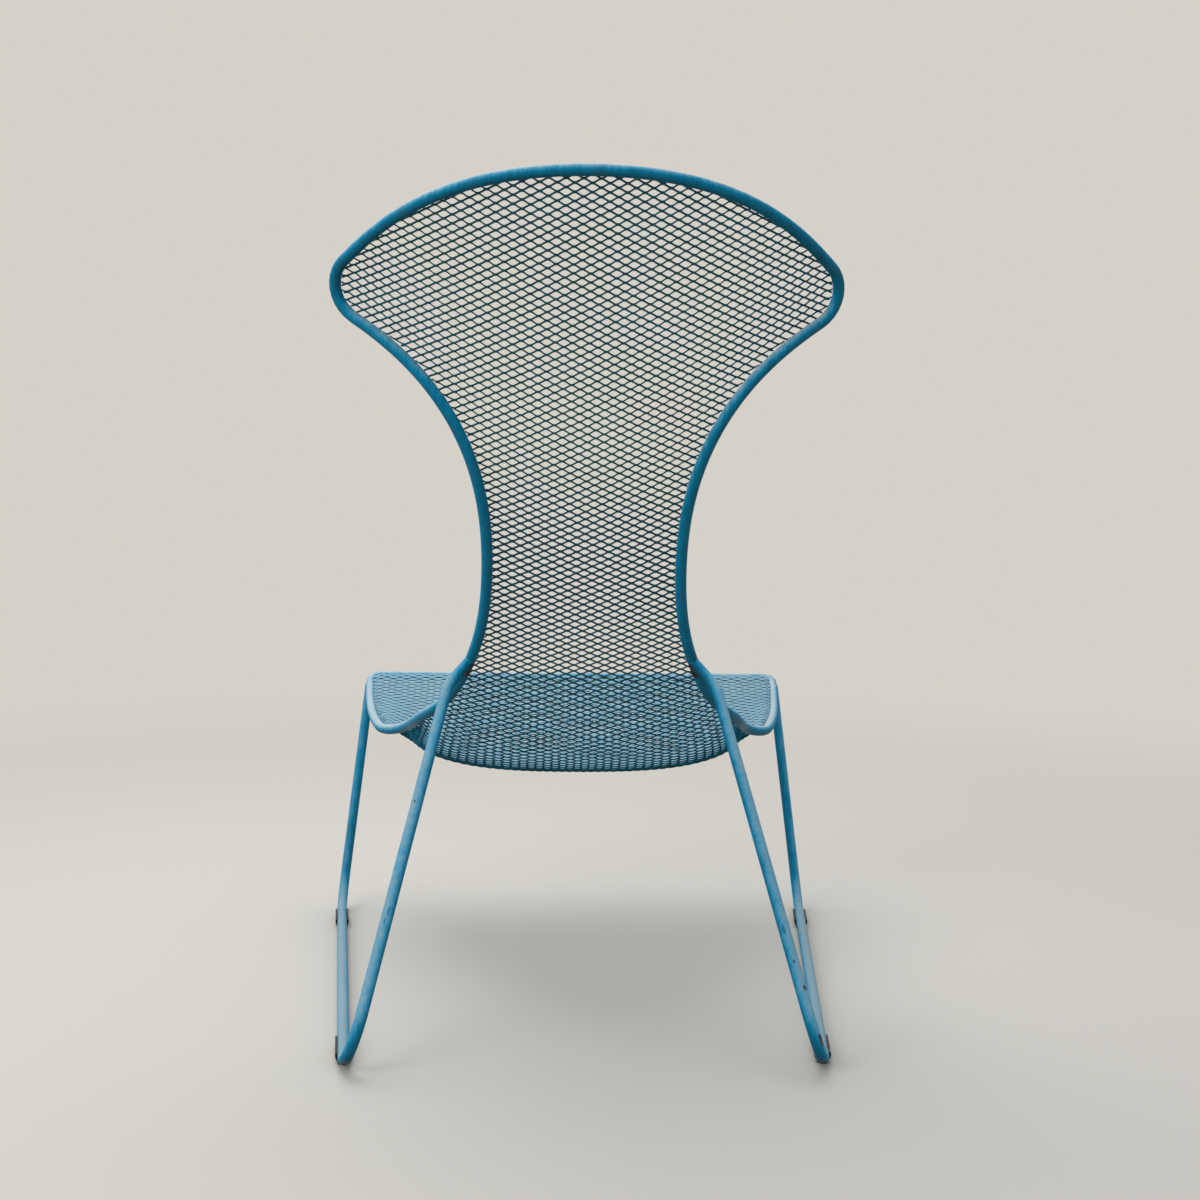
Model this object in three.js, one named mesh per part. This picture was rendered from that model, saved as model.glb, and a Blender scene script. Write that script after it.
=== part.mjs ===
// High-back lounge chair: one sheet of expanded metal on a bent rim tube, carried by two sled sides.
// Millimetres, +Z up. The sitter faces -Y, and the sitter's left is +X.
import * as THREE from "three";
import { TessellateModifier } from "three/addons/modifiers/TessellateModifier.js";

// Stock
const tubeDiameter = 16; // rim and sled sides
const sheetThickness = 3; // height of the mesh strands
const weldGap = 0.5; // air between pieces that are welded or clipped together

// Spine: the sheet's centre line from the top of the back to the front edge, a chain of arcs.
// A lean is the angle from upright at an arc's lower end: 90 is level, more rises to the front.
const topHeight = 1153;
const topLean = 14.5;
const upperBack = { length: 612, lean: 28.4 };
const lowerBack = { length: 280, lean: 43.3 };
const belly = { length: 285, lean: 118 };
const seatFront = { length: 205, lean: 118 };

// Blank: half-widths of the flat sheet. The back's are measured down from the top edge,
// the seat's back from the front edge. At a station the edge runs at an angle to straight down,
// in degrees, and the curve holds it for about the lengths given before and after the station.
const topHandle = 201;
const fanShoulder = { half: 322, down: 136, angle: 42.6, before: 48, after: 21 };
const fanUnder = { half: 310, down: 217, angle: -61.7, before: 17, after: 66 };
const waist = { half: 134, down: 537, angle: 0, before: 147, after: 120 };
const hip = { half: 217, back: 540, angle: 26.6, before: 116, after: 78 };
const earRoot = { half: 268, back: 291, angle: 16.7, before: 75, after: 61 };
const seatSide = { half: 350, back: 30, angle: 0, before: 129 };
const frontCornerRadius = 24;

// Roll across the sheet: radius at a distance down from the top, or back from the front edge.
const fanRoll = { radius: 620, down: 0 };
const shoulderRoll = { radius: 475, down: 290 };
const waistRoll = { radius: 490, down: 440 };
const lumbarRoll = { radius: 2000, down: 690 };
const seatRoll = { radius: 4500, back: 180 };

// Bucket: the seat's side walls turn up to the rim between these distances from the front edge.
const bucket = { rise: 59, bulge: 66, from: 642, to: 65 };

// Sled sides: corners of the tube's centre line, before bending, for the +X side.
const knee = { x: 195, y: -235, z: 452 };
const rearFoot = { x: 302, y: 118 };
const frontFoot = { x: 401, y: -780 };
const kneeBend = 110;
const rearBend = 48;
const frontBend = 60;
const rearWeld = { back: 668, aside: 0 }; // where a leg meets the rim, back from the front edge,
const frontWeld = { back: 22, aside: 5 }; // and how far outside the rim's centre line it aims

// Glides: plastic saddles clipped round the runners.
const glide = { length: 72, wall: 2.4, floor: 3, pad: 14, lip: 20 };
const glideFromBend = 6; // bare runner between a bend and its glide

// Mesh: pitch of the diamonds, width of the strands between them and how far the bonds tilt.
const diamond = { across: 144, down: 74, strand: 9, tilt: 2 };
const meshMargin = 12; // solid selvedge along the rim
const shortestGapEdge = 4;
const smallestGapShare = 0.34; // of a whole diamond, for one cut off at the selvedge
const flatMargin = 24; // bonds nearer the rim than this lie flat

// Facets
const rimSteps = 96; // along half of the rim
const sledSteps = 72; // along one sled side
const longestStrandEdge = 70;

const painted = (color, roughness) => new THREE.MeshStandardMaterial({ color, roughness, metalness: 0 });

const tubeRadius = tubeDiameter / 2;
const spineArcs = [upperBack, lowerBack, belly, seatFront];
const sheetLength = spineArcs.reduce((sum, arc) => sum + arc.length, 0);
const runnerHeight = glide.floor + weldGap + tubeRadius;

// A point of the spine and its lean there, at a distance down the sheet.
function spineAt(down) {
  let y = 0;
  let z = topHeight;
  let lean = THREE.MathUtils.degToRad(topLean);
  let left = down;
  for (const arc of spineArcs) {
    const last = arc === seatFront;
    const turn = THREE.MathUtils.degToRad(arc.lean) - lean;
    const run = last ? left : Math.min(left, arc.length);
    const end = lean + (turn * run) / arc.length;
    const middle = (lean + end) / 2;
    const half = (end - lean) / 2;
    const chord = half === 0 ? run : (run * Math.sin(half)) / half;
    y -= chord * Math.sin(middle);
    z -= chord * Math.cos(middle);
    left -= run;
    lean = end;
    if (left <= 0) break;
  }
  return { y, z, lean };
}

// Value between named stations, eased from one to the next.
function easedBetween(stations, at) {
  const next = stations.findIndex((station) => station.at > at);
  if (next === 0) return stations[0].value;
  if (next < 0) return stations[stations.length - 1].value;
  const [a, b] = [stations[next - 1], stations[next]];
  return THREE.MathUtils.lerp(a.value, b.value, THREE.MathUtils.smoothstep(at, a.at, b.at));
}

const rollStations = [
  { at: fanRoll.down, value: 1 / fanRoll.radius },
  { at: shoulderRoll.down, value: 1 / shoulderRoll.radius },
  { at: waistRoll.down, value: 1 / waistRoll.radius },
  { at: lumbarRoll.down, value: 1 / lumbarRoll.radius },
  { at: sheetLength - seatRoll.back, value: 1 / seatRoll.radius },
  { at: sheetLength, value: 0 },
];

// Half of the blank's outline, from the top's middle round to the front edge's middle.
function halfOutline() {
  const path = new THREE.Path();
  const stations = [fanShoulder, fanUnder, waist, hip, earRoot, seatSide];
  let handle = new THREE.Vector2(topHandle, 0);
  path.moveTo(0, 0);
  for (const station of stations) {
    const down = station.down ?? sheetLength - station.back;
    const { half, angle, before, after } = station;
    const flare = Math.tan(THREE.MathUtils.degToRad(angle));
    path.bezierCurveTo(handle.x, handle.y, half - flare * before, down - before, half, down);
    handle = new THREE.Vector2(half + flare * after, down + after);
  }
  path.lineTo(seatSide.half, sheetLength - frontCornerRadius);
  path.absarc(
    seatSide.half - frontCornerRadius, sheetLength - frontCornerRadius,
    frontCornerRadius, 0, Math.PI / 2,
  );
  path.lineTo(0, sheetLength);
  return path;
}

const outlinePath = halfOutline();
const outlineSamples = outlinePath.getSpacedPoints(600);
const lowerSamples = outlineSamples.filter((p) => p.y >= waist.down);

// The blank's half-width below the waist.
function halfWidthAt(down) {
  const next = lowerSamples.findIndex((p) => p.y >= down);
  if (next < 0) return seatSide.half;
  if (next === 0) return lowerSamples[0].x;
  const [a, b] = [lowerSamples[next - 1], lowerSamples[next]];
  return THREE.MathUtils.mapLinear(down, a.y, b.y, a.x, b.x);
}

// How much of the bucket's full rise its side walls have, from 0 to 1.
function bucketShare(down) {
  const start = sheetLength - bucket.from;
  const end = sheetLength - bucket.to;
  const along = THREE.MathUtils.clamp((down - start) / (end - start), 0, 1);
  return Math.sin(Math.PI * along) ** 2;
}

// The blank's point (across, down), rolled and dished to its place on the chair.
function sheetPoint(across, down) {
  const { y, z, lean } = spineAt(down);
  const share = bucketShare(down);
  const side = Math.sign(across);
  const reach = share > 0 ? Math.abs(across) / halfWidthAt(down) : 0;
  const roll = easedBetween(rollStations, down);
  const lift = (roll * across ** 2) / 2 + bucket.rise * share * reach ** 4;
  const out = bucket.bulge * share * reach ** 2 * (1 - reach ** 6);
  return new THREE.Vector3(across + side * out, y - lift * Math.cos(lean), z + lift * Math.sin(lean));
}

// The sheet's normal on the sitter's side.
function sheetNormal(across, down) {
  const step = 0.5;
  const sideways = sheetPoint(across + step, down).sub(sheetPoint(across - step, down));
  const downwards = sheetPoint(across, down + step).sub(sheetPoint(across, down - step));
  return downwards.cross(sideways).normalize();
}

// The rim's centre line runs behind the sheet's edge, clear of it by the weld gap.
const rimSeat = tubeRadius + sheetThickness / 2 + weldGap;

function rimPoint(across, down) {
  return sheetPoint(across, down).addScaledVector(sheetNormal(across, down), -rimSeat);
}

// The blank's whole outline, in steps that the rim and the sheet's edge share.
function wholeOutline() {
  const half = outlinePath.getSpacedPoints(rimSteps);
  const otherHalf = half.slice(1, -1).reverse();
  return [...half, ...otherHalf.map((p) => new THREE.Vector2(-p.x, p.y))];
}

function rimTube() {
  const loop = wholeOutline().map((p) => rimPoint(p.x, p.y));
  const centreLine = new THREE.CatmullRomCurve3(loop, true);
  centreLine.getPointAt = centreLine.getPoint;
  centreLine.getTangentAt = centreLine.getTangent;
  return new THREE.TubeGeometry(centreLine, loop.length, tubeRadius, 9, true);
}

// A closed outline moved inward by a margin.
function insetBy(outline, margin) {
  return outline.map((point, i) => {
    const before = outline[(i + outline.length - 1) % outline.length];
    const way = outline[(i + 1) % outline.length].clone().sub(before).normalize();
    return new THREE.Vector2(-way.y, way.x).multiplyScalar(margin).add(point);
  });
}

// The part of a polygon that lies inside a convex one, both counter-clockwise.
function clippedBy(polygon, convex) {
  let kept = polygon;
  convex.forEach((from, i) => {
    const along = convex[(i + 1) % convex.length].clone().sub(from);
    const inside = (point) => along.cross(point.clone().sub(from));
    const next = [];
    kept.forEach((point, j) => {
      const after = kept[(j + 1) % kept.length];
      const [here, there] = [inside(point), inside(after)];
      if (here >= 0) next.push(point);
      if (here * there < 0) next.push(point.clone().lerp(after, here / (here - there)));
    });
    kept = next;
  });
  return kept;
}

// Diamonds on the blank, cut off along the selvedge; where little of one is left, there is none.
function diamondGaps(outline) {
  const inset = (1.2 * diamond.strand) / 2;
  const halfAcross = diamond.across / 2 - 2 * inset;
  const halfDown = diamond.down / 2 - inset;
  const selvedge = insetBy(outline, meshMargin);
  const gaps = [];
  const rows = Math.ceil((2 * sheetLength) / diamond.down);
  const columns = Math.ceil(seatSide.half / diamond.across) + 1;
  for (let row = 0; row <= rows; row++) {
    const down = (row * diamond.down) / 2;
    const shift = row % 2 === 0 ? 0 : diamond.across / 2;
    for (let column = -columns; column <= columns; column++) {
      const across = column * diamond.across + shift;
      const corners = [
        new THREE.Vector2(across + halfAcross, down),
        new THREE.Vector2(across, down + halfDown),
        new THREE.Vector2(across - halfAcross, down),
        new THREE.Vector2(across, down - halfDown),
      ];
      const gap = clippedBy(selvedge, corners).filter(
        (point, i, all) => point.distanceTo(all[(i + 1) % all.length]) > shortestGapEdge,
      );
      const share = gap.length > 2 ? THREE.ShapeUtils.area(gap) / (2 * halfAcross * halfDown) : 0;
      if (share > smallestGapShare) gaps.push(new THREE.Path(gap).closePath());
    }
  }
  return gaps;
}

// Whether a point lies inside a closed outline and at least a margin from it.
function insideBy(outline, point, margin) {
  let inside = false;
  for (let i = 0, j = outline.length - 1; i < outline.length; j = i++) {
    const [a, b] = [outline[i], outline[j]];
    const crosses = a.y > point.y !== b.y > point.y;
    if (crosses && point.x < ((b.x - a.x) * (point.y - a.y)) / (b.y - a.y) + a.x) inside = !inside;
    const edge = new THREE.Line3(new THREE.Vector3(a.x, a.y), new THREE.Vector3(b.x, b.y));
    const spot = new THREE.Vector3(point.x, point.y);
    if (edge.closestPointToPoint(spot, true, new THREE.Vector3()).distanceTo(spot) < margin) return false;
  }
  return inside;
}

// How far the tilted bonds stand off the sheet: each has one edge to the front and one to the back.
function bondTilt(across, down) {
  const alongPitch = Math.sin((2 * Math.PI * down) / diamond.down);
  return diamond.tilt * alongPitch * Math.cos((2 * Math.PI * across) / diamond.across);
}

// The blank is cut flat, then every point of it is carried to its place on the formed sheet.
function meshShell() {
  const edge = wholeOutline();
  const blank = new THREE.Shape(edge);
  blank.holes = diamondGaps(edge);
  const flat = new THREE.ExtrudeGeometry(blank, { depth: sheetThickness, bevelEnabled: false });
  const sheet = new TessellateModifier(longestStrandEdge, 8).modify(flat);
  const position = sheet.getAttribute("position");
  for (let i = 0; i < position.count; i++) {
    const [across, down] = [position.getX(i), position.getY(i)];
    const tilt = insideBy(edge, new THREE.Vector2(across, down), flatMargin) ? bondTilt(across, down) : 0;
    const height = sheetThickness / 2 - position.getZ(i) + tilt;
    const formed = sheetPoint(across, down).addScaledVector(sheetNormal(across, down), height);
    position.setXYZ(i, formed.x, formed.y, formed.z);
  }
  sheet.deleteAttribute("uv");
  sheet.computeVertexNormals();
  return sheet;
}

// A circular bend at a corner of a tube's centre line.
class Bend extends THREE.Curve {
  constructor(before, corner, after, radius) {
    super();
    const back = before.clone().sub(corner).normalize();
    const on = after.clone().sub(corner).normalize();
    const halfAngle = back.angleTo(on) / 2;
    this.radius = radius;
    this.sweep = Math.PI - 2 * halfAngle;
    this.from = corner.clone().addScaledVector(back, radius / Math.tan(halfAngle));
    this.to = corner.clone().addScaledVector(on, radius / Math.tan(halfAngle));
    const inward = back.clone().add(on).normalize();
    this.centre = corner.clone().addScaledVector(inward, radius / Math.sin(halfAngle));
    this.start = this.from.clone().sub(this.centre);
    this.heading = back.clone().multiplyScalar(-radius);
  }

  getPoint(t, target = new THREE.Vector3()) {
    const angle = t * this.sweep;
    target.copy(this.centre);
    target.addScaledVector(this.start, Math.cos(angle));
    return target.addScaledVector(this.heading, Math.sin(angle));
  }
}

// The end of a leg that butts on the rim: it is cut square to the rim, clear of it by the weld gap.
function legEnd(from, weld) {
  const down = sheetLength - weld.back;
  const rimAt = (at) => rimPoint(halfWidthAt(at), at);
  const onRim = rimAt(down);
  const step = tubeRadius / 4;
  const along = rimAt(down + step).sub(rimAt(down - step)).normalize();
  const aim = onRim.clone().setX(onRim.x + weld.aside);
  const heading = aim.clone().sub(from).normalize();
  const square = heading.clone().projectOnPlane(along).normalize();
  const cut = onRim.clone().addScaledVector(square, -(tubeRadius + weldGap));
  const short = aim.clone().sub(cut).dot(square) / heading.dot(square);
  return { point: aim.addScaledVector(heading, -short), heading, square, cut };
}

// Slides the flat end of a tube along the tube, so that it lies in the cut's plane.
function cutEnd(tube, end, mirrored) {
  const [point, heading, square, cut] = [end.point, end.heading, end.square, end.cut].map(mirrored);
  const position = tube.getAttribute("position");
  const corner = new THREE.Vector3();
  for (let i = 0; i < position.count; i++) {
    corner.fromBufferAttribute(position, i);
    if (corner.distanceTo(point) > 1.01 * tubeRadius) continue;
    const slide = cut.clone().sub(corner).dot(square) / heading.dot(square);
    corner.addScaledVector(heading, slide);
    position.setXYZ(i, corner.x, corner.y, corner.z);
  }
}

const kneeCorner = new THREE.Vector3(knee.x, knee.y, knee.z);
const rearCorner = new THREE.Vector3(rearFoot.x, rearFoot.y, runnerHeight);
const frontCorner = new THREE.Vector3(frontFoot.x, frontFoot.y, runnerHeight);
const rearTop = legEnd(kneeCorner, rearWeld);
const frontTop = legEnd(frontCorner, frontWeld);
const bends = [
  new Bend(rearTop.point, kneeCorner, rearCorner, kneeBend),
  new Bend(kneeCorner, rearCorner, frontCorner, rearBend),
  new Bend(rearCorner, frontCorner, frontTop.point, frontBend),
];

// One sled side: rear leg, runner and front leg, for side 1 (+X) or -1 (-X).
function sledSide(side) {
  const path = new THREE.CurvePath();
  const mirrored = (point) => new THREE.Vector3(side * point.x, point.y, point.z);
  let from = rearTop.point;
  for (const bend of bends) {
    path.add(new THREE.LineCurve3(mirrored(from), mirrored(bend.from)));
    const turn = new THREE.Curve();
    turn.getPoint = (t) => mirrored(bend.getPoint(t));
    path.add(turn);
    from = bend.to;
  }
  path.add(new THREE.LineCurve3(mirrored(from), mirrored(frontTop.point)));
  const section = new THREE.Shape().absarc(0, 0, tubeRadius, 0, 2 * Math.PI);
  const tube = new THREE.ExtrudeGeometry(section, { steps: sledSteps, curveSegments: 5, extrudePath: path });
  cutEnd(tube, rearTop, mirrored);
  cutEnd(tube, frontTop, mirrored);
  tube.computeVertexNormals();
  return tube;
}

// A glide's section: a clip round the tube's lower half on a flat pad.
function glideSection() {
  const inner = tubeRadius + weldGap;
  const outer = inner + glide.wall;
  const lip = THREE.MathUtils.degToRad(glide.lip);
  const shoulder = THREE.MathUtils.degToRad(40);
  const section = new THREE.Shape();
  section.absarc(0, 0, inner, lip, Math.PI - lip, true);
  section.absarc(0, 0, outer, Math.PI - lip, Math.PI + shoulder, false);
  section.lineTo(-glide.pad / 2, -runnerHeight);
  section.lineTo(glide.pad / 2, -runnerHeight);
  section.absarc(0, 0, outer, -shoulder, lip, false);
  section.closePath();
  return section;
}

// A glide on the runner of one side, starting at a distance from the rear bend.
function glideMesh(name, side, start) {
  const clip = new THREE.ExtrudeGeometry(glideSection(), {
    depth: glide.length,
    curveSegments: 7,
    bevelEnabled: false,
  });
  clip.rotateX(Math.PI / 2);
  const [rear, front] = [bends[1].to, bends[2].from];
  const spot = rear.clone().lerp(front, start / rear.distanceTo(front));
  const mesh = new THREE.Mesh(clip, painted(0x17181a, 0.55));
  mesh.name = name;
  mesh.position.set(side * spot.x, spot.y, runnerHeight);
  mesh.rotation.z = side * Math.atan2(front.x - rear.x, rear.y - front.y);
  return mesh;
}

function namedMesh(name, geometry, material) {
  const mesh = new THREE.Mesh(geometry, material);
  mesh.name = name;
  return mesh;
}

const frame = new THREE.Group();
frame.add(namedMesh("rim_tube", rimTube(), painted(0x2786b4, 0.55)));
frame.add(namedMesh("mesh_shell", meshShell(), painted(0x2f86aa, 0.6)));
const runnerLength = bends[1].to.distanceTo(bends[2].from);
for (const [word, side] of [["left", 1], ["right", -1]]) {
  frame.add(namedMesh("sled_" + word, sledSide(side), painted(0x3f95c2, 0.55)));
  frame.add(glideMesh("glide_rear_" + word, side, glideFromBend));
  frame.add(glideMesh("glide_front_" + word, side, runnerLength - glideFromBend - glide.length));
}

// The part's origin is under the middle of the chair, on the floor.
const box = new THREE.Box3().setFromObject(frame);
const middle = box.getCenter(new THREE.Vector3());
frame.position.set(-middle.x, -middle.y, -box.min.z);

const chair = new THREE.Group();
chair.add(frame);
export default chair;
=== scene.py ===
"""A weathered high-back lounge chair in blue painted steel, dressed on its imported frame.

Metres, +Z up. The sitter faces -Y, and the sitter's left is +X.
"""

import math
from collections import namedtuple

import bpy
import numpy as np
from mathutils import Matrix, Vector


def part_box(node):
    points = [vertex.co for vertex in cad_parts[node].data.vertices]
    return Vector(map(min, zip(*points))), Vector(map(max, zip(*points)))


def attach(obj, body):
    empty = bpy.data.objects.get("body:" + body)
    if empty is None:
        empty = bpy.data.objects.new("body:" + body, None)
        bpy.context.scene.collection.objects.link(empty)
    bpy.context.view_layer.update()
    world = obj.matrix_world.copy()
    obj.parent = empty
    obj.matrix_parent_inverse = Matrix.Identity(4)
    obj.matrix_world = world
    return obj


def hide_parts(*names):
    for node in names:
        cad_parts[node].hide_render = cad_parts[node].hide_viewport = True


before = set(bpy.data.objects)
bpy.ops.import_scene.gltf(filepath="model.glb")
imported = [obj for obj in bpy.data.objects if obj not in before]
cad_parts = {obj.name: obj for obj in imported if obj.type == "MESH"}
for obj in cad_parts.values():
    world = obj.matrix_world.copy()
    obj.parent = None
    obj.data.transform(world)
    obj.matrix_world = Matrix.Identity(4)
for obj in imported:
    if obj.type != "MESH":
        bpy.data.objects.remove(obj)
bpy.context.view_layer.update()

# Stock: the tube's width, the sheet's thickness, and the gap that stands in for a weld
TUBE = 0.016
SHEET = 0.003
WELD_GAP = 0.0005
RIM_SEAT = TUBE / 2 + SHEET / 2 + WELD_GAP

# Spine of the sheet from the top down: each arc's length and its lean from upright at the lower end
TOP_HEIGHT = 1.153
TOP_LEAN = 14.5
SPINE = ((0.612, 28.4), (0.280, 43.3), (0.285, 118.0), (0.205, 118.0))
SHEET_LENGTH = sum(length for length, _ in SPINE)

# Blank: half-width and distance down the flat sheet, the edge's angle there to straight down,
# and about how far the edge's curve holds that angle before and after
Station = namedtuple("Station", "half down angle before after")
TOP_HANDLE = 0.201
FAN_SHOULDER = Station(0.322, 0.136, 42.6, 0.048, 0.021)
FAN_UNDER = Station(0.310, 0.217, -61.7, 0.017, 0.066)
WAIST = Station(0.134, 0.537, 0, 0.147, 0.120)
HIP = Station(0.217, SHEET_LENGTH - 0.540, 26.6, 0.116, 0.078)
EAR_ROOT = Station(0.268, SHEET_LENGTH - 0.291, 16.7, 0.075, 0.061)
SEAT_SIDE = Station(0.3535, SHEET_LENGTH - 0.030, 4, 0.185, 0)
FRONT_CORNER = 0.012

# Roll across the sheet: distance down, and curvature there
ROLLS = (
    (0.0, 1 / 0.620),
    (0.290, 1 / 0.475),
    (0.440, 1 / 0.490),
    (0.690, 1 / 2.0),
    (SHEET_LENGTH - 0.180, 1 / 4.5),
    (SHEET_LENGTH, 0.0),
)

# Bucket of the seat
BUCKET_RISE = 0.059
BUCKET_BULGE = 0.066
BUCKET_FROM = SHEET_LENGTH - 0.642
BUCKET_TO = SHEET_LENGTH - 0.065

# Expanded metal: pitches of the diamonds, length of a bond, and the flat strands between the bonds, with
# their tilt in degrees by distance down, and their offset from a bond's middle as a share of their width
LONG_PITCH = 0.0224
SHORT_PITCH = 0.0115
BOND = 0.0032
STRAND_WIDTH = 0.0031
STRAND_GAUGE = 0.0020
STRAND_TILTS = (
    (0.0, 62),
    (0.300, 57),
    (0.600, 38),
    (0.800, 36),
    (1.060, 30),
    (1.160, 14),
    (SHEET_LENGTH, 12),
)
STRAND_CORNERS = ((0.5, 0.5), (-0.5, 0.5), (-0.5, -0.5), (0.5, -0.5))
BOND_SHARE = 0.45

# How far a strand faces the sky, as shares of how far the sheet faces up: its faces, its edge to the
# front, and its edge to the rear by distance down.
# Faces up take painted light and faces down painted shade; the rear edges are set as facing down, so
# they take painted shade, less of it in the belly, where they stand for strands lit from the floor
FACE_SKY = 1.0
FRONT_EDGE_SKY = 0.6
REAR_EDGE_SKY = ((0.880, -0.6), (0.980, -0.15), (1.060, -0.15), (1.140, -0.6))

# Edge of the mesh: how far inside the rim's line it is trimmed, and how it dips onto the tube there
EDGE_TRIM = 0.0055
EDGE_DIP = 0.0034
EDGE_REACH = 0.008

# Sled sides: corners of the tube's centre line on the +X side, and the bends between them
GLIDE_SOLE = 0.003
RUNNER_HEIGHT = GLIDE_SOLE + WELD_GAP + TUBE / 2
KNEE = np.array((0.1924, -0.2436, 0.4627))
REAR_FOOT = np.array((0.302, 0.118, RUNNER_HEIGHT))
FRONT_FOOT = np.array((0.401, -0.780, RUNNER_HEIGHT))
KNEE_BEND = 0.060
REAR_BEND = 0.048
FRONT_BEND = 0.060

# Leg welds: distance down the sheet, how far outwards of the rim's middle the leg aims, and how deep its
# end is buried in the rim
Weld = namedtuple("Weld", "down aside buried")
REAR_WELD = Weld(SHEET_LENGTH - 0.668, 0, 0.006)
FRONT_WELD = Weld(SHEET_LENGTH - 0.022, 0.0015, 0.004)

# Weld beads: least and most radius of a lump, how deep it sinks, how many go round a leg, and the voxels
# that join them
BEAD = (0.0016, 0.0022)
BEAD_SUNK = 0.0012
BEAD_LUMPS = 26
BEAD_VOXEL = 0.0009

# Fineness of the lines, the bends and the tubes
CURVE_STEPS = 33
CORNER_STEPS = 13
BEND_STEPS = 22
RIM_STEPS = 220
EDGE_STEPS = 900
NORMAL_STEP = 0.0005
TUBE_RESOLUTION = 7
DOME_ANGLES = np.radians((15, 30, 45, 60, 70, 80))
SMOOTH_ANGLE = math.radians(45)

SIDES = (("left", 1), ("right", -1))


# The formed sheet


def bezier(start, first, second, end):
    t = np.linspace(0, 1, CURVE_STEPS)[:, None]
    return (
        start * (1 - t) ** 3
        + 3 * first * t * (1 - t) ** 2
        + 3 * second * t**2 * (1 - t)
        + end * t**3
    )


def evenly(points, count):
    """A line's points, spaced evenly along it."""
    steps = np.linalg.norm(np.diff(points, axis=0), axis=1)
    along = np.concatenate([[0], np.cumsum(steps)])
    wanted = np.linspace(0, along[-1], count)
    return np.stack([np.interp(wanted, along, points[:, axis]) for axis in range(points.shape[1])], -1)


def half_outline():
    """Half of the blank's edge as rows of (across, down), from the top's middle to the front's."""
    rows = [np.zeros((1, 2))]
    handle = np.array((TOP_HANDLE, 0))
    for station in (FAN_SHOULDER, FAN_UNDER, WAIST, HIP, EAR_ROOT, SEAT_SIDE):
        way = np.array((math.tan(math.radians(station.angle)), 1))
        end = np.array((station.half, station.down))
        rows.append(bezier(rows[-1][-1], handle, end - way * station.before, end)[1:])
        handle = end + way * station.after
    corner = SEAT_SIDE.half - FRONT_CORNER, SHEET_LENGTH - FRONT_CORNER
    turn = np.linspace(0, math.pi / 2, CORNER_STEPS)[:, None]
    rows.append(corner + FRONT_CORNER * np.hstack([np.cos(turn), np.sin(turn)]))
    rows.append([(0, SHEET_LENGTH)])
    return np.vstack(rows)


OUTLINE = half_outline()
EDGE_POINTS = evenly(OUTLINE, EDGE_STEPS)


def half_width(down, outline=OUTLINE):
    edge = outline[:-1]
    return np.interp(down, edge[:, 1], edge[:, 0])


def spine(down):
    """Place and lean of the sheet's centre line at distances down it."""
    y = np.zeros_like(down)
    z = np.full_like(down, TOP_HEIGHT)
    lean = np.full_like(down, math.radians(TOP_LEAN))
    left = np.array(down)
    start = math.radians(TOP_LEAN)
    for number, (length, end_degrees) in enumerate(SPINE):
        least = -np.inf if number == 0 else 0
        most = np.inf if number == len(SPINE) - 1 else length
        run = np.clip(left, least, most)
        turn = (math.radians(end_degrees) - start) * run / length
        chord = run * np.sinc(turn / 2 / math.pi)
        y = y - chord * np.sin(lean + turn / 2)
        z = z - chord * np.cos(lean + turn / 2)
        lean = lean + turn
        left = left - run
        start = math.radians(end_degrees)
    return y, z, lean


def eased(stations, at):
    """Value at a distance, eased from each station to the next."""
    value = np.full_like(at, stations[0][1], dtype=float)
    for (place, before), (next_place, after) in zip(stations, stations[1:]):
        t = np.clip((at - place) / (next_place - place), 0, 1)
        value = value + (after - before) * t * t * (3 - 2 * t)
    return value


def sheet_points(across, down):
    """The blank's points, rolled and dished to their places on the chair."""
    y, z, lean = spine(down)
    along = np.clip((down - BUCKET_FROM) / (BUCKET_TO - BUCKET_FROM), 0, 1)
    share = np.sin(math.pi * along) ** 2
    reach = np.where(share > 0, np.abs(across) / np.maximum(half_width(down), TUBE), 0)
    lift = eased(ROLLS, down) * across**2 / 2 + BUCKET_RISE * share * reach**4
    out = BUCKET_BULGE * share * reach**2 * (1 - reach**6)
    x = across + np.sign(across) * out
    return np.stack([x, y + sheet_back - lift * np.cos(lean), z + lift * np.sin(lean)], -1)


def sheet_normals(across, down):
    """The sheet's normals on the sitter's side."""
    step = NORMAL_STEP
    sideways = sheet_points(across + step, down) - sheet_points(across - step, down)
    downwards = sheet_points(across, down + step) - sheet_points(across, down - step)
    normal = np.cross(downwards, sideways)
    return normal / np.linalg.norm(normal, axis=-1, keepdims=True)


def formed(across, down, height):
    """Points at a height over the sheet, on the sitter's side."""
    across, down, height = (np.asarray(value, float) for value in (across, down, height))
    return sheet_points(across, down) + sheet_normals(across, down) * height[..., None]


# The sheet's rear face is the rearmost of the shell, so the shell's box says where the top edge is.
sheet_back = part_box("mesh_shell")[1][1] - SHEET / 2 * math.cos(math.radians(TOP_LEAN))


# Making pieces


def unit(vector):
    return vector / np.linalg.norm(vector)


def new_piece(name, vertices, faces):
    mesh = bpy.data.meshes.new(name)
    mesh.from_pydata(vertices, [], faces)
    piece = bpy.data.objects.new(name, mesh)
    bpy.context.collection.objects.link(piece)
    return piece


def only(piece):
    """Selects one piece and makes it active."""
    bpy.ops.object.select_all(action="DESELECT")
    piece.select_set(True)
    bpy.context.view_layer.objects.active = piece


def outward_faces(piece):
    only(piece)
    bpy.ops.object.mode_set(mode="EDIT")
    bpy.ops.mesh.select_all(action="SELECT")
    bpy.ops.mesh.normals_make_consistent(inside=False)
    bpy.ops.object.mode_set(mode="OBJECT")


def apply_modifier(piece, kind, **settings):
    only(piece)
    modifier = piece.modifiers.new(kind.lower(), kind)
    for key, value in settings.items():
        setattr(modifier, key, value)
    bpy.ops.object.modifier_apply(modifier=modifier.name)


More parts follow.
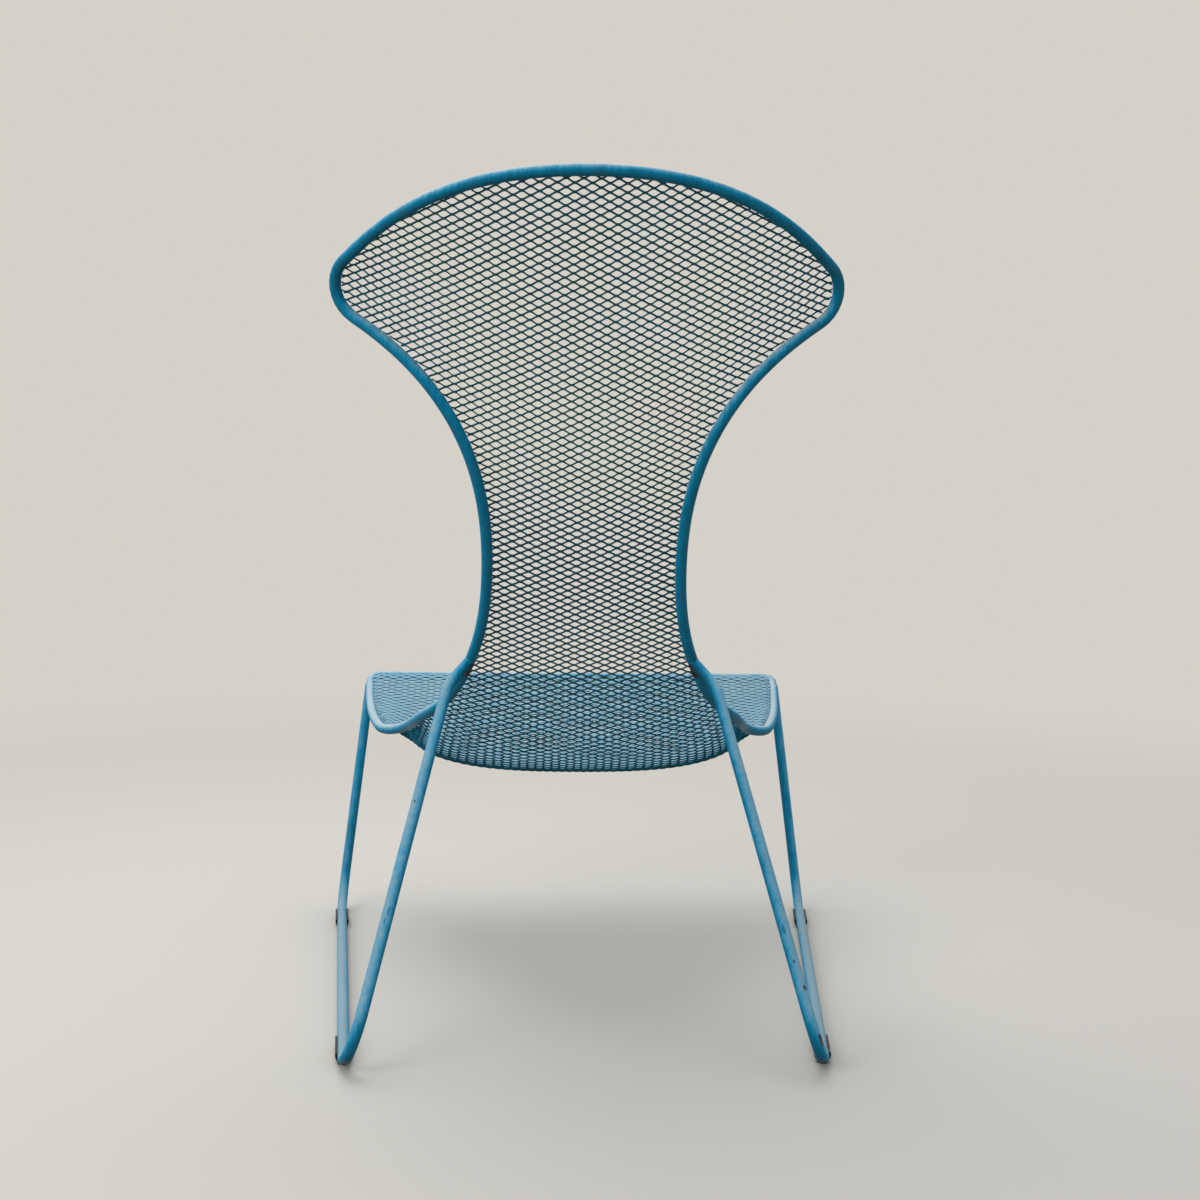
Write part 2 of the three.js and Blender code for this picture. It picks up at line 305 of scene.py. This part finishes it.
def domed(points):
    """A tube's line with rounded ends, and the share of the tube's radius at each point."""
    reach = TUBE / 2 * np.sin(DOME_ANGLES)[:, None]
    first = points[0] + unit(points[0] - points[1]) * reach
    last = points[-1] + unit(points[-1] - points[-2]) * reach
    shares = np.cos(DOME_ANGLES)
    line = np.vstack([first[::-1], points, last])
    return line, np.concatenate([shares[::-1], np.ones(len(points)), shares])


def bent_tube(name, points, shares, closed):
    """A round tube along a line, as a mesh."""
    line = bpy.data.curves.new(name, "CURVE")
    line.dimensions = "3D"
    line.bevel_depth = TUBE / 2
    line.bevel_resolution = TUBE_RESOLUTION
    line.use_fill_caps = not closed
    spline = line.splines.new("POLY")
    spline.points.add(len(points) - 1)
    for knot, point, share in zip(spline.points, points, shares):
        knot.co = (*point, 1)
        knot.radius = share
    spline.use_cyclic_u = closed
    piece = bpy.data.objects.new(name, line)
    bpy.context.collection.objects.link(piece)
    only(piece)
    bpy.ops.object.convert(target="MESH")
    piece = bpy.context.object
    only(piece)
    bpy.ops.object.shade_smooth_by_angle(angle=SMOOTH_ANGLE)
    return piece


# Expanded metal: flat strands run across the sheet, each swinging from bond to bond


def trimmed_outline():
    """The blank's edge, moved in to where the mesh ends."""
    along = np.gradient(OUTLINE, axis=0)
    along = along / np.linalg.norm(along, axis=1, keepdims=True)
    inward = np.stack([-along[:, 1], along[:, 0]], -1)
    return OUTLINE + inward * EDGE_TRIM


def edge_dip(across, down):
    """How far the mesh dips onto the rim at places near its edge."""
    edge_across, edge_down = EDGE_POINTS.T
    gaps = np.hypot(np.abs(across)[:, None] - edge_across, down - edge_down).min(axis=1)
    return EDGE_DIP - eased(((EDGE_TRIM, 0), (EDGE_TRIM + EDGE_REACH, EDGE_DIP)), gaps)


def strand_ways(down):
    """A strand's width and gauge as (down, height), turned out of the sheet's plane."""
    tilt = math.radians(float(eased(STRAND_TILTS, np.array(down))))
    width_way = STRAND_WIDTH * np.array((math.cos(tilt), math.sin(tilt)))
    gauge_way = STRAND_GAUGE * np.array((-math.sin(tilt), math.cos(tilt)))
    return width_way, gauge_way


def strand_stations(row, half):
    """Places across one strand, trimmed at the rim, and which bond it swings to: -1 up, 1 down."""
    count = math.ceil(half / LONG_PITCH * 2) + 1
    bonds = np.arange(-count, count + 1)
    places = (bonds[:, None] * LONG_PITCH / 2 + np.array((-BOND / 2, BOND / 2))).ravel()
    swings = np.repeat((-1.0) ** (bonds + row), 2)
    inside = np.abs(places) < half - STRAND_GAUGE
    ends = np.array((-half, half))
    across = np.concatenate([ends[:1], places[inside], ends[1:]])
    return across, np.interp(across, places, swings)


def expanded_sheet():
    """Every strand is one half of each bond it runs through, so strands join edge to edge there."""
    blanks = []
    faces = []
    skies = []
    start = 0
    trimmed = trimmed_outline()
    for row in range(int(SHEET_LENGTH / SHORT_PITCH * 2)):
        middle = (row + 0.5) * SHORT_PITCH / 2
        if not trimmed[0, 1] < middle < trimmed[-1, 1]:
            continue
        width_way, gauge_way = strand_ways(middle)
        section = np.array([a * width_way + b * gauge_way for a, b in STRAND_CORNERS])
        to_bond = np.array((SHORT_PITCH / 4, 0)) - width_way * BOND_SHARE
        across, swings = strand_stations(row, float(half_width(middle, trimmed)))
        rings = len(across)
        blank = np.zeros((rings, 4, 3))
        blank[:, :, 0] = across[:, None]
        blank[:, :, 1:] = (middle, 0) + swings[:, None, None] * to_bond + section
        blank[:, :, 2] -= edge_dip(across, middle)[:, None]
        blanks.append(blank.reshape(-1, 3))
        corner = start + np.arange(rings * 4).reshape(rings, 4)
        turned = np.roll(corner, -1, axis=1)
        sides = np.stack([corner[:-1], corner[1:], turned[1:], turned[:-1]], -1)
        faces += sides.reshape(-1, 4).tolist()
        faces += [corner[0].tolist(), corner[-1][::-1].tolist()]
        # The sky attribute makes strand faces turned up pale and faces turned down dark: bleaching,
        # painted light and painted shade
        upward = sheet_normals(across, np.full(rings, middle))[:, 2]
        rear_sky = float(eased(REAR_EDGE_SKY, np.array(middle)))
        skies.append(np.outer(upward[:-1], (FACE_SKY, rear_sky, -FACE_SKY, FRONT_EDGE_SKY)).ravel())
        skies.append(upward[[0, -1]])
        start += rings * 4
    flat = np.vstack(blanks)
    piece = new_piece("expanded_sheet", formed(*flat.T).tolist(), faces)
    sky = piece.data.attributes.new("sky", "FLOAT", "FACE")
    sky.data.foreach_set("value", np.concatenate(skies))
    outward_faces(piece)
    return piece


# Rim


def rim_line():
    half = evenly(OUTLINE, RIM_STEPS)
    other = half[-2:0:-1] * (-1, 1)
    loop = np.vstack([half, other])
    return formed(loop[:, 0], loop[:, 1], np.full(len(loop), -RIM_SEAT))


def rim_point(down):
    return formed(half_width(down), down, -RIM_SEAT)


# Sled sides


def leg_end(start, weld):
    """How a leg from a corner meets the rim: the rim's point and way, the leg's aim, heading and end."""
    step = TUBE / 8
    on_rim = rim_point(weld.down)
    rim_way = unit(rim_point(weld.down + step) - rim_point(weld.down - step))
    aim = on_rim + (weld.aside, 0, 0)
    heading = unit(aim - start)
    end = aim - heading * (TUBE / 2 - weld.buried)
    return {"on_rim": on_rim, "rim_way": rim_way, "aim": aim, "heading": heading, "end": end}


def bend(before, corner, after, radius):
    """Points of a round bend at a corner of a tube's centre line."""
    back = unit(before - corner)
    on = unit(after - corner)
    half = math.acos(np.dot(back, on)) / 2
    centre = corner + unit(back + on) * radius / math.sin(half)
    first = corner + back * radius / math.tan(half) - centre
    angles = np.linspace(0, math.pi - 2 * half, BEND_STEPS)[:, None]
    return centre + first * np.cos(angles) - back * radius * np.sin(angles)


def placed(corner):
    return corner + (0, sheet_back, 0)


knee, rear_foot, front_foot = (placed(corner) for corner in (KNEE, REAR_FOOT, FRONT_FOOT))
rear_top = leg_end(knee, REAR_WELD)
front_top = leg_end(front_foot, FRONT_WELD)
rear_bend = bend(knee, rear_foot, front_foot, REAR_BEND)


def sled_line():
    return np.vstack([
        rear_top["end"],
        bend(rear_top["end"], knee, rear_foot, KNEE_BEND),
        rear_bend,
        bend(rear_foot, front_foot, front_top["end"], FRONT_BEND),
        front_top["end"],
    ])


def mirrored(point, side):
    return np.asarray(point) * (side, 1, 1)


# Weld beads


def bead_line(joint, side):
    """Lumps' places along the line where a leg's surface runs into the rim's."""
    on_rim, rim_way, aim, heading = (
        mirrored(joint[key], side) for key in ("on_rim", "rim_way", "aim", "heading")
    )
    first = unit(np.cross(heading, rim_way))
    second = np.cross(heading, first)
    turned = heading - rim_way * np.dot(heading, rim_way)
    spots = []
    for angle in np.linspace(0, 2 * math.pi, BEAD_LUMPS, endpoint=False):
        leg_out = first * math.cos(angle) + second * math.sin(angle)
        start = aim - heading * TUBE * 2 + leg_out * TUBE / 2
        gap = start - on_rim
        gap = gap - rim_way * np.dot(gap, rim_way)
        size = np.dot(turned, turned)
        middle = np.dot(gap, turned)
        reach = middle**2 - size * (np.dot(gap, gap) - TUBE**2 / 4)
        if reach >= 0:
            place = start - heading * (middle + math.sqrt(reach)) / size
            rim_out = place - on_rim
            rim_out = unit(rim_out - rim_way * np.dot(rim_out, rim_way))
            spots.append(place - unit(leg_out + rim_out) * BEAD_SUNK)
    return spots


def weld_bead(name, joint, side, seed):
    rng = np.random.default_rng(seed)
    lumps = []
    for place in bead_line(joint, side):
        bpy.ops.object.select_all(action="DESELECT")
        bpy.ops.mesh.primitive_ico_sphere_add(subdivisions=2, radius=rng.uniform(*BEAD), location=place)
        lumps.append(bpy.context.object)
    bpy.ops.object.select_all(action="DESELECT")
    for lump in lumps:
        lump.select_set(True)
    bpy.context.view_layer.objects.active = lumps[0]
    bpy.ops.object.join()
    piece = bpy.context.object
    piece.name = name
    bpy.ops.object.transform_apply(location=True, rotation=True, scale=True)
    apply_modifier(piece, "REMESH", mode="VOXEL", voxel_size=BEAD_VOXEL)
    apply_modifier(piece, "SMOOTH", factor=0.5, iterations=2)
    only(piece)
    bpy.ops.object.shade_smooth()
    return piece


# Finishes

SHEEN = 0.1
Pattern = namedtuple("Pattern", "scale detail seed stretch", defaults=(0, (1, 1, 1)))
Mark = namedtuple("Mark", "spot way length width")


class Wire:
    """A shader socket that takes part in Python arithmetic."""

    def __init__(self, graph, socket):
        self.graph = graph
        self.socket = socket

    def __add__(self, other):
        return self.graph.math("ADD", self, other)

    __radd__ = __add__

    def __sub__(self, other):
        return self.graph.math("SUBTRACT", self, other)

    def __rsub__(self, other):
        return self.graph.math("SUBTRACT", other, self)

    def __mul__(self, other):
        return self.graph.math("MULTIPLY", self, other)

    __rmul__ = __mul__

    def either(self, other):
        return self.graph.math("MAXIMUM", self, other)

    def swing(self, amount):
        """Noise of 0 to 1 as swings about 0."""
        return (self - 0.5) * amount


class Graph:
    """A node tree in the making."""

    def __init__(self, tree):
        self.tree = tree

    def plug(self, socket, value):
        if isinstance(value, Wire):
            self.tree.links.new(value.socket, socket)
        else:
            socket.default_value = value

    def node(self, kind, settings=(), sockets=(), out=0):
        made = self.tree.nodes.new(kind)
        for key, value in dict(settings).items():
            if key == "stops":
                ramp = made.color_ramp.elements
                while len(ramp) < len(value):
                    ramp.new(1)
                for stop, (position, colour) in zip(ramp, value):
                    stop.position = position
                    stop.color = colour
            else:
                setattr(made, key, value)
        for key, value in dict(sockets).items():
            self.plug(made.inputs[key], value)
        return Wire(self, made.outputs[out])

    def math(self, operation, first, second):
        return self.node("ShaderNodeMath", {"operation": operation}, {0: first, 1: second})

    def mix(self, share, first, second):
        return self.node("ShaderNodeMix", {"data_type": "RGBA"}, {0: share, 6: first, 7: second}, out=2)

    def mix_shader(self, share, first, second):
        return self.node("ShaderNodeMixShader", {}, {0: share, 1: first, 2: second})

    def ramp(self, share, stops):
        return self.node("ShaderNodeValToRGB", {"stops": stops}, {0: share})

    def rise(self, value, low, high):
        """0 below low, 1 above high and eased between them."""
        return self.node(
            "ShaderNodeMapRange",
            {"interpolation_type": "SMOOTHSTEP"},
            {"Value": value, "From Min": low, "From Max": high},
        )


class Finish(Graph):
    """A material in the making."""

    def __init__(self, name):
        self.material = bpy.data.materials.new(name)
        self.material.use_nodes = True
        super().__init__(self.material.node_tree)
        self.shader = self.tree.nodes["Principled BSDF"]
        self.place = self.node("ShaderNodeTexCoord", out="Object")

    def noise(self, pattern):
        ends = {"Vector": self.place, "Location": (pattern.seed, 0, 0), "Scale": pattern.stretch}
        vector = self.node("ShaderNodeMapping", {}, ends)
        ends = {"Vector": vector, "Scale": pattern.scale, "Detail": pattern.detail}
        return self.node("ShaderNodeTexNoise", {}, ends)

    def facing(self, way):
        """1 where the surface faces a way, -1 where it faces from it."""
        ends = {0: self.node("ShaderNodeTexCoord", out="Normal"), 1: way}
        return self.node("ShaderNodeVectorMath", {"operation": "DOT_PRODUCT"}, ends, out="Value")

    def attribute(self, name):
        return self.node("ShaderNodeAttribute", {"attribute_name": name}, out="Fac")

    def mark(self, mark):
        """1 at a mark's spot, falling to 0 at its length along its way and its width across it."""
        gap = self.node("ShaderNodeVectorMath", {"operation": "SUBTRACT"}, {0: self.place, 1: mark.spot})
        ends = {0: gap, 1: mark.way}
        along = self.node("ShaderNodeVectorMath", {"operation": "DOT_PRODUCT"}, ends, out="Value")
        reach = self.node("ShaderNodeVectorMath", {"operation": "LENGTH"}, {0: gap}, out="Value")
        across = reach * reach - along * along
        away = along * along * mark.length**-2 + across * mark.width**-2
        return 1 - self.rise(away, 0.0, 1.0)

    def marks(self, marks):
        """The strongest of some marks at each place."""
        strongest = 0.0
        for mark in marks:
            strongest = self.math("MAXIMUM", strongest, self.mark(mark))
        return strongest

    def finish(self, colour, roughness, bump, distance):
        normal = self.node("ShaderNodeBump", {}, {"Strength": 1.0, "Distance": distance, "Height": bump})
        self.shader.inputs["Specular IOR Level"].default_value = SHEEN
        self.plug(self.shader.inputs["Base Color"], colour)
        self.plug(self.shader.inputs["Roughness"], roughness)
        self.plug(self.shader.inputs["Normal"], normal)
        return self.material


def srgb(red, green, blue):
    """A screen colour, 0 to 255, as the linear values a shader takes."""
    levels = (value / 255 for value in (red, green, blue))
    linear = [v / 12.92 if v <= 0.04045 else ((v + 0.055) / 1.055) ** 2.4 for v in levels]
    return (*linear, 1)


# Shades of the paint, from where it faces the floor to where it faces the sky: chalky and bleached
# towards the sky and lighter there as painted light, darker towards the floor as painted shade
TUBE_SHADES = (
    (0.05, srgb(0, 72, 92)),
    (0.40, srgb(0, 106, 140)),
    (0.56, srgb(0, 128, 168)),
    (0.76, srgb(88, 162, 194)),
    (0.94, srgb(176, 196, 204)),
)
SLED_SHADES = (
    (0.05, srgb(0, 70, 90)),
    (0.40, srgb(0, 108, 142)),
    (0.54, srgb(6, 130, 170)),
    (0.74, srgb(84, 160, 194)),
    (0.94, srgb(140, 172, 184)),
)
# The mesh's lowest shade is lighter again, as painted light from the floor on the undersides of its
# strands; its dark middle shades are painted shade on the strands' rear faces
MESH_SHADES = (
    (0.04, srgb(0, 96, 124)),
    (0.26, srgb(2, 62, 72)),
    (0.42, srgb(4, 72, 84)),
    (0.56, srgb(16, 108, 136)),
    (0.74, srgb(82, 156, 184)),
    (0.94, srgb(142, 182, 199)),
)
PRIMER = srgb(96, 88, 82)
OLD_PAINT = srgb(6, 98, 136)
RUST_DARK = srgb(46, 30, 24)
RUST_RED = srgb(98, 48, 36)
GRIME = srgb(74, 70, 60)
DUST = srgb(150, 138, 120)
PLASTIC_BLACK = srgb(18, 18, 20)
PLASTIC_GREY = srgb(34, 34, 36)

# Patterns of the wear
CLOUDS = Pattern(9, 4, 3)
MOTTLE = Pattern(55, 4, 11)
GRAIN = Pattern(900, 2)
BRUSHED = Pattern(230, 2, 6, (1, 1, 0.06))
FINE_FLAKES = Pattern(210, 4, 5)
WIDE_FLAKES = Pattern(70, 2, 9)
STREAKS = Pattern(40, 3, 7, (1, 1, 0.12))
RUST_BLOOM = Pattern(160, 3, 2)
RUST_CRUST = Pattern(500, 2)
PLASTIC_MOTTLE = Pattern(120, 4)
SCUFFS = Pattern(300, 3, 4, (1, 0.15, 1))

# Where a pattern begins to show, and where it shows in full
STREAK_LEVELS = (0.58, 0.78)
SCRATCH_LEVELS = (0.35, 0.6)
CHIP_LEVELS = (0.725, 0.74)
WORN_LEVELS = (0.50, 0.58)
BARE_LEVELS = (0.42, 0.62)
RUST_LEVELS = (0.42, 0.75)
RED_LEVELS = (0.40, 0.62)
SCUFF_LEVELS = (0.55, 0.7)
DUST_LEVELS = (0.2, 1.0)

# How much of a colour goes on, and how deep the painted shade under the rim is
GRIME_SHARE = 0.2
SCRATCH_SHARE = 0.7
SCUFF_SHARE = 0.4
DUST_SHARE = 0.35
UNDER_RIM_SHADE = 0.3

PAINT_ROUGHNESS = 0.42
PAINT_RELIEF = 0.0004
PLASTIC_ROUGHNESS = 0.5
PLASTIC_RELIEF = 0.0003


def weathered_shaded_paint(name, shades, bleach_and_light_way, rusted=(), chipped=(), scratched=(), painted_shade_marks=()):
    """Blue paint, chalky and lighter on the side that faces a given way, as bleaching and painted light,
    and darker on the side that faces from it, as painted shade; chipped to primer and rust in places.

    The given way is where the chalky, lighter side faces, or the name of an attribute that says how far
    each face turns that way. Marks of painted shade darken the paint under things.
    """
    paint = Finish(name)
    if isinstance(bleach_and_light_way, str):
        facing = paint.attribute(bleach_and_light_way)
    else:
        facing = paint.facing(unit(np.array(bleach_and_light_way)).tolist())
    clouds = paint.noise(CLOUDS)
    mottle = paint.noise(MOTTLE)
    grain = paint.noise(GRAIN)
    brushed = paint.noise(BRUSHED)
    flakes = paint.noise(FINE_FLAKES) * 0.30 + paint.noise(WIDE_FLAKES) * 0.70
    patches = clouds.swing(0.24) + mottle.swing(0.22) + grain.swing(0.1) + brushed.swing(0.3)
    # Bleaching with painted light and shade: lighter where the paint faces its way, darker where it
    # faces from it and under the marks of painted shade
    bleach_and_light = facing * 0.5 + 0.5 + patches - paint.marks(painted_shade_marks) * UNDER_RIM_SHADE
    colour = paint.ramp(bleach_and_light, shades)
    streaks = paint.rise(paint.noise(STREAKS), *STREAK_LEVELS)
    colour = paint.mix(streaks * GRIME_SHARE, colour, GRIME)

    scratches = paint.marks(scratched) + mottle.swing(0.9) + grain.swing(0.6)
    scratches = paint.rise(scratches, *SCRATCH_LEVELS)
    colour = paint.mix(scratches * SCRATCH_SHARE, colour, OLD_PAINT)
    chips = paint.rise(flakes + clouds.swing(0.25), *CHIP_LEVELS)
    chips = chips.either(paint.rise(paint.marks(chipped) + flakes.swing(2.4), *WORN_LEVELS))
    bare = paint.mix(paint.rise(mottle, *BARE_LEVELS), PRIMER, RUST_DARK)
    colour = paint.mix(chips, colour, bare)
    rust = paint.rise(paint.marks(rusted) + flakes.swing(1.7), *RUST_LEVELS)
    rusty = paint.mix(paint.rise(paint.noise(RUST_BLOOM), *RED_LEVELS), RUST_DARK, RUST_RED)
    colour = paint.mix(rust, colour, rusty)
    roughness = PAINT_ROUGHNESS + bleach_and_light * 0.28 + chips * 0.2 + rust * 0.25
    crust = rust * paint.noise(RUST_CRUST) * 0.8
    bump = grain * 0.15 + mottle * 0.25 - chips - scratches * 0.3 + crust
    return paint.finish(colour, roughness, bump, PAINT_RELIEF)


def dull_plastic(name):
    plastic = Finish(name)
    mottle = plastic.noise(PLASTIC_MOTTLE)
    scuffs = plastic.rise(plastic.noise(SCUFFS), *SCUFF_LEVELS)
    dust = plastic.rise(plastic.facing((0, 0, 1)) + mottle.swing(1), *DUST_LEVELS)
    colour = plastic.mix(mottle, PLASTIC_BLACK, PLASTIC_GREY)
    colour = plastic.mix(scuffs * SCUFF_SHARE + dust * DUST_SHARE, colour, DUST)
    roughness = PLASTIC_ROUGHNESS + mottle * 0.25
    return plastic.finish(colour, roughness, mottle * 0.4 + scuffs * 0.4, PLASTIC_RELIEF)


# Marks of wear, and the ways of the painted light

# Ways that the paint's chalky, lighter side faces, as bleaching and painted light: mostly up, tipped to
# +X on the rim and outwards on the sleds for painted light from the sides
RIM_BLEACH_AND_LIGHT = (0.3, 0, 1)
SLED_BLEACH_AND_LIGHT = (0.2, 0, 1)

# Rust on the rim at the rear welds: distance back from the front edge, and size
RIM_RUST = ((0.660, 0.010), (0.646, 0.011))
RIM_INNER_REAR = np.array((-0.7, 0.7, 0))

# Painted shade under the rim over the rear leg's top: length and width
UNDER_RIM = (0.050, 0.030)

# Worn underside of the rear bend: the bend's point, the way out to the surface, length and width
HEEL_STEP = 15
HEEL_UNDER = np.array((0, 0.5, -0.9))
HEEL_WEAR = (0.006, 0.012)

# Wear on the rear legs: height over the floor, turn outwards from the leg's back, length and width
LegWear = namedtuple("LegWear", "height turn length width")
LEG_SCRATCHES = {
    "left": (LegWear(0.189, 0, 0.009, 0.0018), LegWear(0.178, 15, 0.007, 0.0016)),
    "right": (LegWear(0.169, -10, 0.010, 0.0030), LegWear(0.134, 0, 0.004, 0.0030)),
}
LEG_CHIPS = {
    "left": (),
    "right": (LegWear(0.105, 35, 0.006, 0.004), LegWear(0.049, 45, 0.013, 0.005)),
}


def mark(point, side, way, length, width):
    spot, turned = (mirrored(vector, side).tolist() for vector in (point, way))
    return Mark(spot, turned, length, width)


def leg_mark(wear, side):
    line = np.vstack([knee, rear_bend])
    step = int(np.argmax(line[:, 2] < wear.height))
    way = unit(line[step - 1] - line[step])
    axis = line[step] + way * (wear.height - line[step][2]) / way[2]
    outward = unit(np.cross((0, 1, 0), way))
    back = np.cross(way, outward)
    angle = math.radians(wear.turn)
    out = back * math.cos(angle) + outward * math.sin(angle)
    return mark(axis + out * TUBE / 2, side, way, wear.length, wear.width)


def rim_mark(side, back, size):
    """A round mark on the rim's inner rear face, at a distance back from the front edge."""
    spot = rim_point(SHEET_LENGTH - back) + RIM_INNER_REAR * TUBE / 2
    return mark(spot, side, (0, 0, 1), size, size)


def heel_mark(side):
    spot = rear_bend[HEEL_STEP] + unit(HEEL_UNDER) * TUBE / 2
    return mark(spot, side, (0, 0, 1), *HEEL_WEAR)


rear_rust = {word: [rim_mark(side, *rust) for rust in RIM_RUST] for word, side in SIDES}
rim_rust = rear_rust["left"] + rear_rust["right"]


def sled_paint(word, side):
    return weathered_shaded_paint(
        "sled_" + word + "_paint_shaded_weathered",
        SLED_SHADES,
        mirrored(SLED_BLEACH_AND_LIGHT, side),
        rusted=rear_rust[word],
        chipped=[heel_mark(side)] + [leg_mark(wear, side) for wear in LEG_CHIPS[word]],
        scratched=[leg_mark(wear, side) for wear in LEG_SCRATCHES[word]],
        # Painted shade where the rim hangs over the rear leg's top
        painted_shade_marks=[mark(rear_top["end"], side, rear_top["heading"], *UNDER_RIM)],
    )


# Pieces


def dress(piece, material, slot, *nodes):
    piece.data.materials.clear()
    piece.data.materials.append(material)
    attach(piece, "root")
    if nodes:
        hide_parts(*nodes)


expanded = expanded_sheet()
rim_points = rim_line()
rim = bent_tube("rim_tube_bent", rim_points, np.ones(len(rim_points)), closed=True)
sled_points, sled_shares = domed(sled_line())
sleds = {
    word: bent_tube("sled_" + word + "_bent", mirrored(sled_points, side), sled_shares, closed=False)
    for word, side in SIDES
}
joints = [
    ("weld_" + place + "_" + word, joint, side)
    for place, joint in (("rear", rear_top), ("front", front_top))
    for word, side in SIDES
]
welds = [weld_bead(*joint, seed) for seed, joint in enumerate(joints)]

# These paints carry painted light on faces up and painted shade on faces down, besides their wear
rim_paint = weathered_shaded_paint("rim_paint_shaded_weathered", TUBE_SHADES, RIM_BLEACH_AND_LIGHT, rusted=rim_rust)
mesh_paint = weathered_shaded_paint("mesh_paint_shaded_weathered", MESH_SHADES, "sky")
weld_paint = weathered_shaded_paint("weld_paint_weathered", TUBE_SHADES, RIM_BLEACH_AND_LIGHT, rusted=rim_rust)
glide_plastic = dull_plastic("glide_plastic_dusty")

dress(expanded, mesh_paint, "mesh_paint", "mesh_shell")
dress(rim, rim_paint, "rim_paint", "rim_tube")
for word, side in SIDES:
    dress(sleds[word], sled_paint(word, side), "sled_paint", "sled_" + word)
for weld in welds:
    dress(weld, weld_paint, "sled_paint")
for name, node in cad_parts.items():
    if name.startswith("glide"):
        for material_slot in node.material_slots:
            material_slot.material = glide_plastic


# Stage: a pale floor that runs out into a background of the same colour

PALE = srgb(214, 209, 200)
FLOOR_SIZE = 60
FLOOR_CLEAR = 0.7
FLOOR_GONE = 3.4
FLOOR_ROUGHNESS = 0.9
WORLD_LIGHT = 0.55
WORLD_COLOUR = (0.90, 0.95, 1.0, 1)
Lamp = namedtuple("Lamp", "name place aim size power")
LAMPS = (
    Lamp("overhead", (0.5, -0.9, 3.3), (0, 0, 0.5), 2.6, 60),
    Lamp("behind", (2.4, 2.6, 2.2), (0, 0, 0.6), 2.0, 38),
)


def pale_floor():
    bpy.ops.object.select_all(action="DESELECT")
    bpy.ops.mesh.primitive_plane_add(size=FLOOR_SIZE)
    floor = bpy.context.object
    floor.name = "floor"
    ground = Finish("pale_floor")
    ground.plug(ground.shader.inputs["Base Color"], PALE)
    ground.plug(ground.shader.inputs["Roughness"], FLOOR_ROUGHNESS)
    far = ground.node("ShaderNodeVectorMath", {"operation": "LENGTH"}, {0: ground.place}, out="Value")
    glow = ground.node("ShaderNodeEmission", {}, {"Color": PALE})
    lit = Wire(ground, ground.shader.outputs[0])
    mixed = ground.mix_shader(ground.rise(far, FLOOR_CLEAR, FLOOR_GONE), lit, glow)
    output = ground.tree.nodes["Material Output"]
    ground.plug(output.inputs["Surface"], mixed)
    floor.data.materials.append(ground.material)


def pale_world():
    world = bpy.data.worlds.new("studio")
    world.use_nodes = True
    bpy.context.scene.world = world
    sky = Graph(world.node_tree)
    lighting = sky.node("ShaderNodeBackground", {}, {"Color": WORLD_COLOUR, "Strength": WORLD_LIGHT})
    shown = sky.node("ShaderNodeBackground", {}, {"Color": PALE})
    seen = sky.node("ShaderNodeLightPath", out="Is Camera Ray")
    for kind in ("Is Glossy Ray", "Is Transmission Ray"):
        seen = seen.either(sky.node("ShaderNodeLightPath", out=kind))
    output = sky.tree.nodes["World Output"]
    sky.plug(output.inputs["Surface"], sky.mix_shader(seen, lighting, shown))


def soft_lamp(lamp):
    data = bpy.data.lights.new(lamp.name, "AREA")
    data.shape = "SQUARE"
    data.size = lamp.size
    data.energy = lamp.power
    hung = bpy.data.objects.new(lamp.name, data)
    hung.location = lamp.place
    hung.rotation_euler = (Vector(lamp.aim) - Vector(lamp.place)).to_track_quat("-Z", "Y").to_euler()
    bpy.context.collection.objects.link(hung)


pale_floor()
pale_world()
for lamp in LAMPS:
    soft_lamp(lamp)


# Camera, from behind the chair as in the photograph

PHOTO_FRAME = 36
PHOTO_LENS = 52.5
CAMERA_SIDE = 0.074
CAMERA_BACK = 2.2478
CAMERA_HEIGHT = 0.785
CAMERA_YAW = math.radians(2.26)
CAMERA_PITCH = math.radians(4.54)
CAMERA_ROLL = math.radians(0.61)


def photo_camera():
    data = bpy.data.cameras.new("photo_camera")
    data.sensor_width = PHOTO_FRAME
    data.lens = PHOTO_LENS
    camera = bpy.data.objects.new("photo_camera", data)
    bpy.context.collection.objects.link(camera)
    ahead = Vector((-math.sin(CAMERA_YAW), -math.cos(CAMERA_YAW), 0))
    level = Vector((-math.cos(CAMERA_YAW), math.sin(CAMERA_YAW), 0))
    upright = Vector((0, 0, 1))
    forward = ahead * math.cos(CAMERA_PITCH) - upright * math.sin(CAMERA_PITCH)
    up = upright * math.cos(CAMERA_PITCH) + ahead * math.sin(CAMERA_PITCH)
    right = level * math.cos(CAMERA_ROLL) + up * math.sin(CAMERA_ROLL)
    top = up * math.cos(CAMERA_ROLL) - level * math.sin(CAMERA_ROLL)
    turn = Matrix((right, top, -forward)).transposed().to_4x4()
    place = Matrix.Translation((CAMERA_SIDE, CAMERA_BACK + sheet_back, CAMERA_HEIGHT))
    camera.matrix_world = place @ turn
    bpy.context.scene.camera = camera


photo_camera()
bpy.context.scene.view_settings.view_transform = "Standard"
